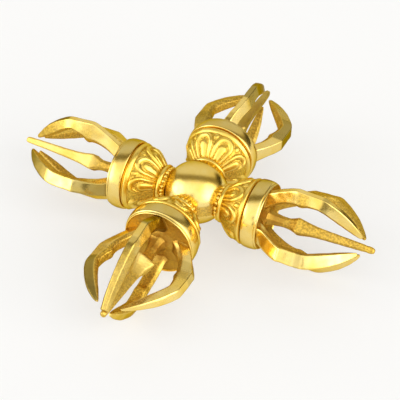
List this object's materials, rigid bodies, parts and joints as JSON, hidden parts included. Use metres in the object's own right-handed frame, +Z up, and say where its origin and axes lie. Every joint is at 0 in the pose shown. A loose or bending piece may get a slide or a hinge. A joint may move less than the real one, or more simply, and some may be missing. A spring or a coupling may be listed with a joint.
{
  "type": "double vajra",
  "caption": "Crossed ritual sceptre: pronged arms with lotus cups and collars set crosswise on a polished ball.",
  "frame": {"origin": "centre of the ball, where the axes of the arms cross", "axes": "+Z up and square to both arm axes when the piece lies flat, +X along the east arm, +Y along the north arm"},
  "size_m": [0.1, 0.1, 0.0256],
  "materials": {
    "polished_gilt": "satin polished gilt",
    "cast_gilt": "cast and gilt",
    "rough_gilt": "rough cast and gilt"
  },
  "bodies": {
    "root": {"centre_ball": "polished_gilt", "east_neck_ring": "cast_gilt", "east_lotus_cup": "cast_gilt", "east_collar": "polished_gilt", "east_centre_prong": "rough_gilt", "east_prong_up": "polished_gilt", "east_prong_left": "polished_gilt", "east_prong_down": "polished_gilt", "east_prong_right": "polished_gilt", "north_neck_ring": "cast_gilt", "north_lotus_cup": "cast_gilt", "north_collar": "polished_gilt", "north_centre_prong": "rough_gilt", "north_prong_up": "polished_gilt", "north_prong_left": "polished_gilt", "north_prong_down": "polished_gilt", "north_prong_right": "polished_gilt", "west_neck_ring": "cast_gilt", "west_lotus_cup": "cast_gilt", "west_collar": "polished_gilt", "west_centre_prong": "rough_gilt", "west_prong_up": "polished_gilt", "west_prong_left": "polished_gilt", "west_prong_down": "polished_gilt", "west_prong_right": "polished_gilt", "south_neck_ring": "cast_gilt", "south_lotus_cup": "cast_gilt", "south_collar": "polished_gilt", "south_centre_prong": "rough_gilt", "south_prong_up": "polished_gilt", "south_prong_left": "polished_gilt", "south_prong_down": "polished_gilt", "south_prong_right": "polished_gilt"}
  },
  "joints": []
}
